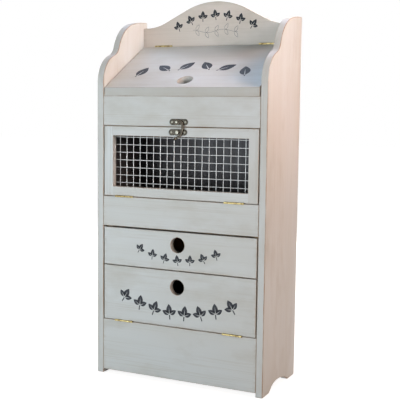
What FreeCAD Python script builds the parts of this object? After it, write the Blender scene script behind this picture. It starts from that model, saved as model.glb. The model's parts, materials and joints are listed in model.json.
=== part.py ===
import FreeCAD, Part
import math
import os

# A vegetable storage cabinet in painted softwood. Under a sloping lid lies an
# onion bin with a bottom-hinged mesh door, below it a drawer, and below that a
# potato bin behind a bottom-hinged flap.
#
# Millimetres. X is to the right, Z is up and the front faces -Y. While the
# pieces are made, Y is counted from the front faces backwards; every piece is
# then moved so that the origin lies on the floor under the middle of the
# whole object's box.

# ---- carcass ----
width = 460.0
depth = 220.0
side_thick = 18.0
board_thick = 15.0          # the fixed and the hinged front boards
shelf_thick = 12.0
back_thick = 4.0
back_inset = 1.5            # the back panel lies this far inside the sides' back edges
crest_thick = 18.0
lid_thick = 18.0
lid_slope_deg = 29.9

# ---- heights of the fronts, from the floor up ----
floor_gap = 10.2            # under the bottom board
bottom_board_height = 133.0
flap_height = 139.6
drawer_front_height = 95.0
middle_rail_height = 75.5
door_height = 175.0
top_rail_height = 73.3      # at its front face
hinge_gap = 1.2             # between a hinged front and the board under it
front_gap = 2.2             # between the flap and the drawer front
drawer_top_gap = 4.0
door_top_gap = 1.2
side_gap = 2.4              # beside each moving front
lid_side_gap = 2.3
seat_gap = 0.3              # between pieces that come to rest against each other

# ---- outline of the side panels; a bow is how far an arc stands off its chord ----
foot_front = 42.0
foot_back = 47.0
arch_rise = 19.3            # the cut-out between the feet
arch_toe_run = 17.0         # from the front foot to the end of the small hollow
arch_toe_rise = 11.0
arch_toe_bow = 1.3
arch_climb_run = 58.0       # from the front foot to the cut-out's highest point
arch_climb_bow = 2.7
arch_heel_bow = 5.6
front_edge_above_lid = 7.5
front_curve_bow = 15.5
shoulder_depth = 51.0
shoulder_above_lid = 82.5
cove_depth = 76.0
cove_above_lid = 108.0
cove_bow = 4.8
flank_bow = 11.6
brow_depth = 147.0          # where the upper curve flattens
brow_below_top = 8.5
brow_bow = 2.2
side_above_lid_back = 65.9

# ---- outline of the crest board ----
crest_above_lid_back = 112.9
crest_ends_below_peak = 63.0
crest_peak_radius = 190.0
crest_cove_radius = 130.0
crest_flank_deg = 26.5
crest_below_lid_back = 60.0
crest_rebate = 12.0         # lap of the back panel on the crest board

# ---- finger holes ----
finger_hole_radius = 19.0
lid_hole_from_edge = 37.1   # up the slope from the lid's front edge
drawer_hole_drop = 32.1     # below the drawer front's top edge
flap_hole_drop = 39.5       # below the flap's top edge

# ---- mesh door ----
stile_width = 25.0
door_rail_width = 23.8
mesh_pitch = 19.05
mesh_wire_radius = 0.75
mesh_shift_x = -1.2         # the sheet sits a little left of the middle
mesh_side_clear = 16.0      # least room between the outermost wires and the door's sides
mesh_first_row_below_window = 9.5
mesh_overhang = 1.5         # how far each wire runs past the outermost crossing
mesh_top_clear = 1.0        # least room between the mesh and the door's stop
staple_wire_radius = 0.5
staple_half_span = 3.0
staple_leg = 6.0
staples_across_count = 4     # along the top and the bottom edge
staples_up_count = 2         # along each side

# ---- drawer box ----
drawer_side_thick = 10.0
drawer_side_height = 72.0
drawer_bottom_thick = 4.0
drawer_bottom_rise = 6.0    # of the bottom panel above the sides' lower edges
groove_depth = 5.0
groove_play = 0.1
guide_width = 8.0
guide_height = 12.0
guide_play = 1.0
drawer_back_clear = 0.5

# ---- cleats, stop and dowels ----
cleat = 15.0
cleat_front_clear = 2.0
cleat_back_clear = 12.0
arch_clear = 0.7            # between the side's cut-out and the lowest cleat
onion_shelf_rise = 1.0      # above the middle rail's lower edge
stop_thick = 12.0
stop_height = 20.0
stop_lap = 3.0              # over the mesh door's top edge
dowel_radius = 4.0
dowel_length = 30.0
dowel_in_side = 12.0
dowel_shares = (0.25, 0.75) # of the board's height
fit_clear = 0.05            # around dowels, screws and pins
touch = 1e-6                # places nearer than this are the same

# ---- butt hinges ----
hinge_length = 51.0
hinge_inset = 59.8          # from the side of a moving front to a hinge's middle
knuckle_radius = 2.4
pin_radius = 1.25
pin_proud = 2.7             # of the pin's axis in front of the boards
lid_pin_rise = 1.7          # of the pin's axis above the lid's back edge
leaf_thick = 0.8
leaf_offset = 1.0           # of a leaf's outer face from the pin's axis, on the fronts
leaf_back_clear = 1.7       # between the leaves' back edges and the boards' back faces
knuckle_count = 5
knuckle_play = 0.25
leaf_clear = 0.35           # between a leaf and the other leaf's knuckles
pin_overhang = 0.6          # at each end of the knuckles
hinge_screw_x = 15.0

# ---- latch ----
plate_length = 50.0
plate_height = 15.2
plate_thick = 1.2
plate_screw_x = 17.8
base_plate_x = 1.0
base_plate_above_rail = 11.2   # of its middle above the top rail's lower edge
catch_plate_x = -1.0
catch_plate_below_door = 12.2  # of its middle below the door's top edge
rivet_from_plate = -4.0
rivet_head_radius = 3.2
rivet_head_thick = 1.3
rivet_shank_radius = 1.5
hook_standoff = 1.7
hook_thick = 2.4
hook_width = 5.2
hook_eye_radius = 6.6
hook_tip_radius = 3.1
hook_heading_deg = 12.0     # of its first stretch, above level
hook_start = 6.0
hook_elbow_radius = 8.0
hook_elbow_deg = 92.0
hook_sweep_radius = 34.0
hook_sweep_deg = 50.0
hook_crook_radius = 12.0
hook_crook_deg = 24.0
hook_end = 5.0
post_radius = 2.6
post_tail_radius = 1.5
post_head_radius = 4.6
post_head_thick = 1.8
post_head_standoff = 4.6
head_bevel_share = 0.4      # of the head's thickness, on the rivet and the post

# ---- screws: head radius, shank radius, length ----
leaf_screw = (2.3, 1.2, 12.0)
latch_screw = (2.9, 1.4, 11.0)
cleat_screw = (3.4, 1.75, 24.0)
catch_screw = (2.6, 1.4, 10.0)
nail_radius = 0.8
nail_head_radius = 1.9
nail_head_thick = 0.8
nail_length = 18.0
nail_columns = 5
drawer_nail_length = 22.0
drawer_nail_shares = (0.4, 0.8)   # of the drawer side's height
slot_arm_share = 0.22       # half width of a cross slot's arm, of its reach
flat_slot_share = 0.5       # reach of the slot, of the head's radius
domed_slot_share = 0.55
dome_share = 0.38           # rise of a domed head, of its radius

# ---- magnetic catch ----
magnet_inset = 89.6         # of its middle from the flap's right side
magnet_length = 46.0
magnet_body = 30.0
magnet_height = 13.0
magnet_depth = 14.0
magnet_ear_thick = 3.0
strike_length = 34.0
strike_height = 11.0
strike_thick = 1.0

# ---- places that follow from the sizes ----
inner = width / 2 - side_thick
front_half = inner - side_gap
hinge_x = front_half - hinge_inset
magnet_x = front_half - magnet_inset
leaf_reach = pin_proud + board_thick - leaf_back_clear
slope = math.radians(lid_slope_deg)
board_top = floor_gap + bottom_board_height
flap_bottom = board_top + hinge_gap
flap_top = flap_bottom + flap_height
drawer_low = flap_top + front_gap
drawer_top = drawer_low + drawer_front_height
middle_low = drawer_top + drawer_top_gap
middle_top = middle_low + middle_rail_height
door_low = middle_top + hinge_gap
door_top = door_low + door_height
top_low = door_top + door_top_gap
top_high = top_low + top_rail_height
lid_low = top_high + seat_gap
lid_front_top = lid_low + lid_thick / math.cos(slope)
crest_face = depth - crest_thick
lid_back = crest_face - 2 * pin_proud
lid_back_top = lid_front_top + lid_back * math.tan(slope)
lid_pin_y = crest_face - pin_proud
lid_pin_z = lid_back_top + lid_pin_rise
side_top = lid_back_top + side_above_lid_back
crest_peak = lid_back_top + crest_above_lid_back
crest_low = lid_back_top - crest_below_lid_back
lowest_shelf = arch_rise + arch_clear + cleat
drawer_deck_top = drawer_low - seat_gap
drawer_deck = drawer_deck_top - shelf_thick
onion_shelf = middle_low + onion_shelf_rise
shelf_front = board_thick + seat_gap
shelf_back = depth - back_inset - back_thick
hook_back = plate_thick + hook_standoff
hook_front = hook_back + hook_thick
rivet_x = base_plate_x + rivet_from_plate
base_plate_z = top_low + base_plate_above_rail
catch_plate_z = door_top - catch_plate_below_door
rivet_z = base_plate_z
post_front = plate_thick + post_head_standoff + post_head_thick
proud = max(post_front, hook_front + rivet_head_thick, pin_proud + knuckle_radius)
front_y = -(depth - proud) / 2

V = FreeCAD.Vector
RIGHT = V(1, 0, 0)
BACK = V(0, 1, 0)
FRONT = V(0, -1, 0)
UP = V(0, 0, 1)


# ---- general shapes ----
def block(x0, x1, y0, y1, z0, z1):
    return Part.makeBox(x1 - x0, y1 - y0, z1 - z0, V(x0, y0, z0))


def rod(radius, length, at, axis):
    return Part.makeCylinder(radius, length, at, axis)


def outline(to_space, start, steps):
    """A closed face; a step is a point (line) or a pair of points (arc through, to)."""
    edges = []
    here = start
    for step in steps:
        if isinstance(step[0], tuple):
            through, there = step
            edges.append(Part.Arc(to_space(here), to_space(through), to_space(there)).toShape())
        else:
            there = step
            edges.append(Part.LineSegment(to_space(here), to_space(there)).toShape())
        here = there
    if here != start:
        edges.append(Part.LineSegment(to_space(here), to_space(start)).toShape())
    return Part.Face(Part.Wire(edges))


def bowed(start, end, bow):
    """An arc step whose middle stands `bow` to the left of the straight way."""
    run = end[0] - start[0]
    rise = end[1] - start[1]
    lean = bow / math.hypot(run, rise)
    through = ((start[0] + end[0]) / 2 - lean * rise, (start[1] + end[1]) / 2 + lean * run)
    return through, end


def from_side(x, start, steps, thick):
    """A board whose outline is drawn in depth and height, from x towards +X."""
    face = outline(lambda p: V(x, p[0], p[1]), start, steps)
    return face.extrude(V(thick, 0, 0))


def from_front(y, start, steps, thick):
    """A board whose outline is drawn in width and height, from y backwards."""
    face = outline(lambda p: V(p[0], y, p[1]), start, steps)
    return face.extrude(V(0, thick, 0))


def placed(shape, at, axis):
    """Turns a shape made along +Z to an axis and moves its origin to a point."""
    moved = shape.copy()
    moved.Placement = FreeCAD.Placement(at, FreeCAD.Rotation(UP, axis))
    return moved


def cut_all(shape, tools):
    tools = list(tools)
    return shape.cut(Part.makeCompound(tools)) if tools else shape


def revolved(points):
    """A solid of revolution about Z from (radius, height) points."""
    start = V(points[0][0], 0, points[0][1])
    corners = [V(r, 0, z) for r, z in points]
    face = Part.Face(Part.makePolygon(corners + [start]))
    return face.revolve(V(0, 0, 0), UP, 360)


# ---- fasteners; each points along +Z into the wood from the origin ----
def flat_screw(size, extra=0.0):
    """A countersunk wood screw, its head level with the origin."""
    head, shank, length = size
    return revolved([
        (0, 0),
        (head + extra, 0),
        (shank + extra, head - shank),
        (shank + extra, length - 2 * shank),
        (0, length + extra),
    ])


def cross_slot(reach, deep):
    arm = reach * slot_arm_share
    bar = Part.makeBox(2 * reach, 2 * arm, deep, V(-reach, -arm, 0))
    other = bar.copy()
    other.rotate(V(0, 0, 0), UP, 90)
    return bar.fuse(other)


def slotted_flat_screw(size):
    head, shank, _ = size
    return flat_screw(size).cut(cross_slot(head * flat_slot_share, shank / 2))


def domed_screw(size):
    """A round-headed wood screw whose head stands on the origin's plane."""
    head, shank, length = size
    rise = head * dome_share
    cap_radius = (head ** 2 + rise ** 2) / (2 * rise)
    ball = Part.makeSphere(cap_radius, V(0, 0, cap_radius - rise))
    cap = ball.common(Part.makeCylinder(cap_radius, rise, V(0, 0, -rise)))
    cap = cap.cut(cross_slot(head * domed_slot_share, rise / 2).translated(V(0, 0, -rise)))
    stem = revolved([(0, 0), (shank, 0), (shank, length - 2 * shank), (0, length)])
    return stem.fuse(cap)


def screw_bore(size):
    _, shank, length = size
    return rod(shank + fit_clear, length + fit_clear, V(0, 0, 0), UP)


def nail(length, extra=0.0):
    head = rod(nail_head_radius + extra, nail_head_thick, V(0, 0, -nail_head_thick), UP)
    return head.fuse(rod(nail_radius + extra, length + extra, V(0, 0, 0), UP))


# ---- places of the fasteners ----
def shelf_levels():
    return [lowest_shelf, drawer_deck, onion_shelf]


def cleat_ends():
    return board_thick + cleat_front_clear, shelf_back - cleat_back_clear


def cleat_screw_places():
    """(point, direction) of the screws through the cleats, sideways and up."""
    near, far = cleat_ends()
    places = []
    for level in shelf_levels():
        for hand in (-1, 1):
            inside = hand * (inner - cleat)
            middle = hand * (inner - cleat / 2)
            for y in (near + 2 * cleat, far - 2 * cleat):
                places.append((V(inside, y, level - cleat / 2), V(hand, 0, 0)))
            for y in (near + cleat, far - cleat):
                places.append((V(middle, y, level - cleat), UP))
    return places


def dowel_places():
    """(point, direction) of the dowels from each fixed board's end into the side."""
    boards = [
        (board_thick / 2, floor_gap, board_top),
        (board_thick / 2, middle_low, middle_top),
        (board_thick / 2, top_low, top_high),
        (crest_face + crest_thick / 2, crest_low + crest_rebate, crest_peak - crest_ends_below_peak),
    ]
    places = []
    for y, low, high in boards:
        for share in dowel_shares:
            z = low + share * (high - low)
            for hand in (-1, 1):
                places.append((V(hand * (inner + dowel_in_side), y, z), V(-hand, 0, 0)))
    return places


def back_nail_places():
    """Points on the back panel's outer face, in rows over what carries it."""
    rows = [level + shelf_thick / 2 for level in shelf_levels()]
    rows.append(crest_low + crest_rebate / 2)
    pitch = 2 * (inner - 2 * cleat) / (nail_columns - 1)
    return [
        V(-(inner - 2 * cleat) + column * pitch, depth - back_inset, z)
        for z in rows
        for column in range(nail_columns)
    ]


def bores(size, places):
    return [placed(screw_bore(size), at, axis) for at, axis in places]


def dowel_bores():
    return [
        placed(rod(dowel_radius + fit_clear, dowel_length + 2 * fit_clear, V(0, 0, -fit_clear), UP), at, axis)
        for at, axis in dowel_places()
    ]


def back_nail_bores():
    return [placed(nail(nail_length, fit_clear), at, FRONT) for at in back_nail_places()]


# ---- butt hinges; local X along the pin, +Y into the gap, +Z the moving side ----
def knuckle_span(index):
    pitch = hinge_length / knuckle_count
    start = -hinge_length / 2 + index * pitch
    return start, start + pitch - knuckle_play


def leaf(moving, offset):
    """One leaf; its outer face lies `offset` from the pin's axis."""
    side = 1 if moving else -1
    bore = pin_radius + fit_clear
    inner_face = offset - leaf_thick
    comb = knuckle_radius + leaf_clear
    low, high = sorted((side * inner_face, side * offset))
    half = hinge_length / 2
    shape = block(-half, half - knuckle_play, comb, leaf_reach, low, high)
    mid_ring = (bore + knuckle_radius) / 2
    root = 0.0 if inner_face > bore else math.sqrt(mid_ring ** 2 - inner_face ** 2)
    for index in range(1 if moving else 0, knuckle_count, 2):
        start, end = knuckle_span(index)
        barrel = rod(knuckle_radius, end - start, V(start, 0, 0), RIGHT)
        shape = shape.fuse([barrel, block(start, end, root, comb, low, high)])
    shape = shape.cut(rod(bore, 2 * hinge_length, V(-hinge_length, 0, 0), RIGHT))
    hole = flat_screw(leaf_screw, fit_clear)
    holes = [placed(hole, at, axis) for at, axis in leaf_screw_places(moving, offset)]
    return cut_all(shape, holes).removeSplitter()


def leaf_screw_places(moving, offset):
    side = 1 if moving else -1
    y = pin_proud + board_thick / 2
    z = side * (offset - leaf_thick)
    return [(V(x, y, z), V(0, 0, side)) for x in (-hinge_screw_x, hinge_screw_x)]


def hinge_pin():
    """A plain pin that stands a little out of each end of the knuckles."""
    length = hinge_length - knuckle_play + 2 * pin_overhang
    return rod(pin_radius, length, V(-hinge_length / 2 - pin_overhang, 0, 0), RIGHT)


def hinge_kinds():
    """Name, the pin's place in depth and height, how it is turned, and the leaf offset."""
    straight = FreeCAD.Rotation()
    hanging = FreeCAD.Rotation(V(0, 1, -1), 180)
    half_gap = hinge_gap / 2
    return [
        ("lid", lid_pin_y, lid_pin_z, hanging, pin_proud),
        ("door", -pin_proud, middle_top + half_gap, straight, leaf_offset),
        ("flap", -pin_proud, board_top + half_gap, straight, leaf_offset),
    ]


def hinge_places():
    """(name, hand, placement, offset) of every hinge."""
    places = []
    for name, y, z, turned, offset in hinge_kinds():
        for hand in ("left", "right"):
            x = -hinge_x if hand == "left" else hinge_x
            places.append((name, hand, FreeCAD.Placement(V(x, y, z), turned), offset))
    return places


def set_in(shape, placement):
    moved = shape.copy()
    moved.Placement = placement.multiply(moved.Placement)
    return moved


def leaf_screws_of(name, moving, extra=0.0):
    """The screws of one kind of hinge, or, with `extra`, their holes in the wood."""
    solids = []
    for kind, _, placement, offset in hinge_places():
        if kind == name:
            for at, axis in leaf_screw_places(moving, offset):
                body = flat_screw(leaf_screw, extra) if extra else slotted_flat_screw(leaf_screw)
                solids.append(set_in(placed(body, at, axis), placement))
    return solids


def leaf_cuts(name, moving):
    """What a front board loses to its hinges: screw holes and the leaves' shallow seats."""
    side = 1 if moving else -1
    half = hinge_length / 2 + fit_clear
    low, high = sorted((0, side * leaf_offset))
    seat = block(-half, half, 0, leaf_reach + fit_clear, low, high)
    seats = [set_in(seat, placement) for kind, _, placement, _ in hinge_places() if kind == name]
    return seats + leaf_screws_of(name, moving, fit_clear)


# ---- carcass ----
def side_outline():
    """From the front foot's lower corner: the cut-out, the back edge, the curved top."""
    front_foot = (foot_front, 0)
    toe = (foot_front + arch_toe_run, arch_toe_rise)
    arch_top = (foot_front + arch_climb_run, arch_rise)
    back_foot = (depth - foot_back, 0)
    back_top = (depth, side_top)
    brow = (brow_depth, side_top - brow_below_top)
    cove = (cove_depth, lid_front_top + cove_above_lid)
    shoulder = (shoulder_depth, lid_front_top + shoulder_above_lid)
    front_top = (0, lid_front_top + front_edge_above_lid)
    return (0, 0), [
        front_foot,
        bowed(front_foot, toe, -arch_toe_bow),
        bowed(toe, arch_top, arch_climb_bow),
        bowed(arch_top, back_foot, arch_heel_bow),
        (depth, 0),
        back_top,
        bowed(back_top, brow, -brow_bow),
        bowed(brow, cove, -flank_bow),
        bowed(cove, shoulder, cove_bow),
        bowed(shoulder, front_top, -front_curve_bow),
    ]


def side_panel(hand):
    start, steps = side_outline()
    x = inner if hand > 0 else -inner - side_thick
    panel = from_side(x, start, steps, side_thick)
    holes = dowel_bores() + bores(cleat_screw, cleat_screw_places())
    own_holes = [hole for hole in holes if hole.BoundBox.Center.x * hand > 0]
    return cut_all(panel, own_holes)


def bottom_board():
    board = block(-inner, inner, 0, board_thick, floor_gap, board_top)
    return cut_all(board, dowel_bores() + leaf_cuts("flap", False))


def middle_rail():
    board = block(-inner, inner, 0, board_thick, middle_low, middle_top)
    return cut_all(board, dowel_bores() + leaf_cuts("door", False))


def top_rail():
    """Its top edge is bevelled to the lid's slope."""
    back_high = top_high + board_thick * math.tan(slope)
    steps = [(board_thick, top_low), (board_thick, back_high), (0, top_high)]
    board = from_side(-inner, (0, top_low), steps, 2 * inner)
    return cut_all(board, dowel_bores() + bores(latch_screw, plate_screw_places(base_plate_x, base_plate_z)))


def crest_half():
    """From the peak down to the end: arc, straight flank, cove, flat."""
    turn = math.radians(crest_flank_deg)
    low = crest_peak - crest_ends_below_peak
    arc_x = crest_peak_radius * math.sin(turn)
    arc_z = crest_peak - crest_peak_radius * (1 - math.cos(turn))
    cove_run = crest_cove_radius * math.sin(turn)
    cove_drop = crest_cove_radius * (1 - math.cos(turn))
    flank_drop = arc_z - low - cove_drop
    cove_x = arc_x + flank_drop / math.tan(turn)
    half = turn / 2
    end_x = cove_x + cove_run
    mid_x = end_x - crest_cove_radius * math.sin(half)
    mid_z = low + crest_cove_radius * (1 - math.cos(half))
    return (arc_x, arc_z), (cove_x, low + cove_drop), (mid_x, mid_z), (end_x, low)


def crest_board():
    arc, cove, mid, end = crest_half()
    low = crest_peak - crest_ends_below_peak
    steps = [
        (inner, crest_low),
        (inner, low),
        end,
        (mid, cove),
        arc,
        ((0, crest_peak), (-arc[0], arc[1])),
        (-cove[0], cove[1]),
        ((-mid[0], mid[1]), (-end[0], end[1])),
        (-inner, low),
    ]
    board = from_front(crest_face, (-inner, crest_low), steps, crest_thick)
    rebate = block(-inner, inner, shelf_back, depth, crest_low, crest_low + crest_rebate)
    holes = dowel_bores() + leaf_screws_of("lid", False, fit_clear) + back_nail_bores()
    return cut_all(board, [rebate] + holes)


def back_panel():
    panel = block(-inner, inner, shelf_back, depth - back_inset, arch_rise, crest_low + crest_rebate)
    return cut_all(panel, back_nail_bores())


def shelf(level):
    board = block(-inner, inner, shelf_front, shelf_back, level, level + shelf_thick)
    return cut_all(board, bores(cleat_screw, cleat_screw_places()) + back_nail_bores() + magnet_screw_bores())


def shelf_cleats():
    near, far = cleat_ends()
    holes = [placed(flat_screw(cleat_screw, fit_clear), at, axis) for at, axis in cleat_screw_places()]
    cleats = []
    for level in shelf_levels():
        for x in (-inner, inner - cleat):
            cleats.append(cut_all(block(x, x + cleat, near, far, level - cleat, level), holes))
    return cleats


def cleat_screws():
    return [placed(slotted_flat_screw(cleat_screw), at, axis) for at, axis in cleat_screw_places()]


def rail_dowels():
    return [placed(rod(dowel_radius, dowel_length, V(0, 0, 0), UP), at, axis) for at, axis in dowel_places()]


def back_panel_nails():
    return [placed(nail(nail_length), at, FRONT) for at in back_nail_places()]


def drawer_guides():
    far = shelf_back - cleat_back_clear
    high = drawer_deck_top + guide_height
    return [
        block(x, x + guide_width, shelf_front, far, drawer_deck_top, high)
        for x in (-inner, inner - guide_width)
    ]


def door_stop():
    low = door_top - stop_lap
    front = board_thick + seat_gap
    stop = block(-inner, inner, front, board_thick + stop_thick, low, low + stop_height)
    pad = block(-inner, inner, board_thick, front, top_low, low + stop_height)
    return stop.fuse(pad).removeSplitter()


# ---- magnetic catch under the drawer's shelf ----
def magnet_front():
    return board_thick + strike_thick + seat_gap


def magnet_screw_places():
    reach = (magnet_length + magnet_body) / 4
    y = magnet_front() + magnet_depth / 2
    z = drawer_deck - magnet_ear_thick
    return [(V(magnet_x + hand * reach, y, z), UP) for hand in (-1, 1)]


def magnet_screw_bores():
    return bores(catch_screw, magnet_screw_places())


def magnet_case():
    front = magnet_front()
    back = front + magnet_depth
    half_ears = magnet_length / 2
    half_body = magnet_body / 2
    ear_low = drawer_deck - magnet_ear_thick
    body_low = drawer_deck - magnet_height
    ears = block(magnet_x - half_ears, magnet_x + half_ears, front, back, ear_low, drawer_deck)
    body = block(magnet_x - half_body, magnet_x + half_body, front, back, body_low, drawer_deck)
    case = ears.fuse(body).removeSplitter()
    return cut_all(case, magnet_screw_bores())


def magnet_screws():
    return [placed(domed_screw(catch_screw), at, axis) for at, axis in magnet_screw_places()]


def strike_place():
    z = drawer_deck - magnet_ear_thick - (magnet_height - magnet_ear_thick) / 2
    return V(magnet_x, board_thick + strike_thick, z)


def strike_plate():
    at = strike_place()
    half = strike_length / 2
    high = strike_height / 2
    plate = block(at.x - half, at.x + half, board_thick, at.y, at.z - high, at.z + high)
    return cut_all(plate, [placed(flat_screw(catch_screw, fit_clear), at, FRONT)])


def strike_screw():
    return placed(slotted_flat_screw(catch_screw), strike_place(), FRONT)


# ---- latch ----
def plate_screw_places(x, z):
    return [(V(x + hand * plate_screw_x, -plate_thick, z), BACK) for hand in (-1, 1)]


def stadium(x, z):
    radius = plate_height / 2
    half = plate_length / 2 - radius
    steps = [
        (x + half, z - radius),
        ((x + half + radius, z), (x + half, z + radius)),
        (x - half, z + radius),
        ((x - half - radius, z), (x - half, z - radius)),
    ]
    return from_front(-plate_thick, (x - half, z - radius), steps, plate_thick)


def latch_base_plate():
    holes = bores(latch_screw, plate_screw_places(base_plate_x, base_plate_z))
    holes.append(rod(rivet_shank_radius + fit_clear, plate_thick, V(rivet_x, -plate_thick, rivet_z), BACK))
    return cut_all(stadium(base_plate_x, base_plate_z), holes)


def latch_rivet():
    """A shoulder holds the hook off the plate; the head keeps the hook on."""
    at = V(rivet_x, 0, rivet_z)
    shank = rod(rivet_shank_radius, hook_front + fit_clear, at, FRONT)
    shoulder = rod(rivet_head_radius, hook_standoff - fit_clear, at + V(0, -plate_thick, 0), FRONT)
    head = rod(rivet_head_radius, rivet_head_thick - fit_clear, at + V(0, -hook_front - fit_clear, 0), FRONT)
    head = head.makeChamfer(rivet_head_thick * head_bevel_share, [
        edge for edge in head.Edges
        if abs(edge.BoundBox.YMin + hook_front + rivet_head_thick) < touch and edge.BoundBox.YLength < touch
    ])
    return shank.fuse([shoulder, head]).removeSplitter()


def band(centre, radius, start_deg, end_deg):
    """A flat curved strip of the hook's width, drawn about a centre in the front plane."""
    def at(r, deg):
        turn = math.radians(deg)
        return centre[0] + r * math.cos(turn), centre[1] + r * math.sin(turn)
    low, high = radius - hook_width / 2, radius + hook_width / 2
    middle = (start_deg + end_deg) / 2
    steps = [
        (at(high, middle), at(high, end_deg)),
        at(low, end_deg),
        (at(low, middle), at(low, start_deg)),
    ]
    return from_front(-hook_front, at(high, start_deg), steps, hook_thick)


def hook_path():
    """Straights (length,) and arcs (radius, turn in degrees) from the rivet to the tip."""
    return [
        (hook_start,),
        (hook_elbow_radius, -hook_elbow_deg),
        (hook_sweep_radius, -hook_sweep_deg),
        (hook_crook_radius, -hook_crook_deg),
        (hook_end,),
        (hook_crook_radius, hook_crook_deg),
    ]


def latch_hook():
    """A swan-necked flat hook: an eye on the rivet, the path's stretches and a ball tip."""
    x, z = rivet_x, rivet_z
    heading = hook_heading_deg
    pieces = []
    for step in hook_path():
        turn = math.radians(heading)
        if len(step) == 1:
            ahead = (math.cos(turn) * step[0], math.sin(turn) * step[0])
            aside = (-math.sin(turn) * hook_width / 2, math.cos(turn) * hook_width / 2)
            corners = [
                (x + ahead[0] + aside[0], z + ahead[1] + aside[1]),
                (x + ahead[0] - aside[0], z + ahead[1] - aside[1]),
                (x - aside[0], z - aside[1]),
            ]
            pieces.append(from_front(-hook_front, (x + aside[0], z + aside[1]), corners, hook_thick))
            x, z = x + ahead[0], z + ahead[1]
        else:
            radius, bend = step
            side = 1 if bend > 0 else -1
            centre = (x - side * radius * math.sin(turn), z + side * radius * math.cos(turn))
            start_deg = heading - 90 * side
            pieces.append(band(centre, radius, start_deg, start_deg + bend))
            heading += bend
            end = math.radians(start_deg + bend)
            x, z = centre[0] + radius * math.cos(end), centre[1] + radius * math.sin(end)
    eye = rod(hook_eye_radius, hook_thick, V(rivet_x, -hook_back, rivet_z), FRONT)
    middle_y = -(hook_back + hook_front) / 2
    tip = Part.makeSphere(hook_tip_radius, V(x, middle_y, z))
    hook = eye.fuse(pieces + [tip]).removeSplitter()
    return hook.cut(rod(rivet_shank_radius + fit_clear, 2 * hook_front, V(rivet_x, 0, rivet_z), FRONT))


def latch_catch_plate():
    holes = bores(latch_screw, plate_screw_places(catch_plate_x, catch_plate_z))
    start = V(catch_plate_x, -plate_thick, catch_plate_z)
    holes.append(rod(post_tail_radius + fit_clear, plate_thick, start, BACK))
    return cut_all(stadium(catch_plate_x, catch_plate_z), holes)


def latch_catch_post():
    """Its tail is riveted into the plate; the hook lies under its head."""
    at = V(catch_plate_x, 0, catch_plate_z)
    tail = rod(post_tail_radius, plate_thick, at, FRONT)
    neck = rod(post_radius, post_head_standoff, at + V(0, -plate_thick, 0), FRONT)
    head = rod(post_head_radius, post_head_thick, at + V(0, -plate_thick - post_head_standoff, 0), FRONT)
    head = head.makeChamfer(post_head_thick * head_bevel_share, [
        edge for edge in head.Edges
        if abs(edge.BoundBox.YMin + post_front) < touch and edge.BoundBox.YLength < touch
    ])
    return tail.fuse([neck, head]).removeSplitter()


def latch_screws(x, z):
    return [placed(domed_screw(latch_screw), at, axis) for at, axis in plate_screw_places(x, z)]


# ---- lid ----
def lid_board():
    half = inner - lid_side_gap
    edge = lid_thick / math.cos(slope)
    steps = [(lid_back, lid_back_top - edge), (lid_back, lid_back_top), (0, lid_front_top)]
    board = from_side(-half, (0, lid_low), steps, 2 * half)
    up_slope = V(0, math.cos(slope), math.sin(slope))
    out = V(0, -math.sin(slope), math.cos(slope))
    start = V(0, 0, lid_front_top) + up_slope * lid_hole_from_edge - out * 2 * lid_thick
    hole = rod(finger_hole_radius, 4 * lid_thick, start, out)
    return cut_all(board, [hole] + leaf_screws_of("lid", True, fit_clear))


# ---- mesh door ----
def window():
    half = front_half - stile_width
    return half, door_low + door_rail_width, door_top - door_rail_width


def door_stile(hand):
    half = window()[0]
    low, high = sorted((hand * half, hand * front_half))
    return cut_all(block(low, high, 0, board_thick, door_low, door_top), staple_bores())


def door_bottom_rail():
    half, low, _ = window()
    rail = block(-half, half, 0, board_thick, door_low, low)
    return cut_all(rail, leaf_cuts("door", True) + staple_bores())


def door_top_rail():
    half, _, high = window()
    rail = block(-half, half, 0, board_thick, high, door_top)
    plate_bores = bores(latch_screw, plate_screw_places(catch_plate_x, catch_plate_z))
    return cut_all(rail, plate_bores + staple_bores())


def mesh_lines():
    """Heights of the rows and places of the columns, as many as the door has room for."""
    first_row = window()[1] - mesh_first_row_below_window
    last_row = door_top - stop_lap - mesh_top_clear - mesh_overhang
    row_squares = int((last_row - first_row) / mesh_pitch)
    column_squares = int(2 * (front_half - mesh_side_clear) / mesh_pitch)
    first_column = mesh_shift_x - mesh_pitch * column_squares / 2
    rows = [first_row + mesh_pitch * n for n in range(row_squares + 1)]
    columns = [first_column + mesh_pitch * n for n in range(column_squares + 1)]
    return rows, columns


def wire_mesh():
    """Welded grid: the rows lie on the frame's back, the columns behind them."""
    rows, columns = mesh_lines()
    row_y = board_thick + mesh_wire_radius
    column_y = row_y + 2 * mesh_wire_radius
    left, right = columns[0] - mesh_overhang, columns[-1] + mesh_overhang
    low, high = rows[0] - mesh_overhang, rows[-1] + mesh_overhang
    wires = [rod(mesh_wire_radius, right - left, V(left, row_y, z), RIGHT) for z in rows]
    wires += [rod(mesh_wire_radius, high - low, V(x, column_y, low), UP) for x in columns]
    return wires


def stapled_squares(squares, count):
    """Numbers of the squares along an edge that a staple holds, alike from both ends."""
    near = [int((n + 0.5) * squares / count) for n in range(count // 2)]
    return near + [squares - 1 - n for n in near]


def staple_places():
    """(point on the frame's back, direction of the crown, depth of the crown's wire)."""
    rows, columns = mesh_lines()
    over_row = 2 * mesh_wire_radius + staple_wire_radius
    over_column = 4 * mesh_wire_radius + staple_wire_radius
    half_pitch = mesh_pitch / 2
    places = []
    for square in stapled_squares(len(columns) - 1, staples_across_count):
        for z in (rows[0], rows[-1]):
            places.append((V(columns[square] + half_pitch, board_thick, z), UP, over_row))
    for square in stapled_squares(len(rows) - 1, staples_up_count):
        for x in (columns[0], columns[-1]):
            places.append((V(x, board_thick, rows[square] + half_pitch), RIGHT, over_column))
    return places


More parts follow.
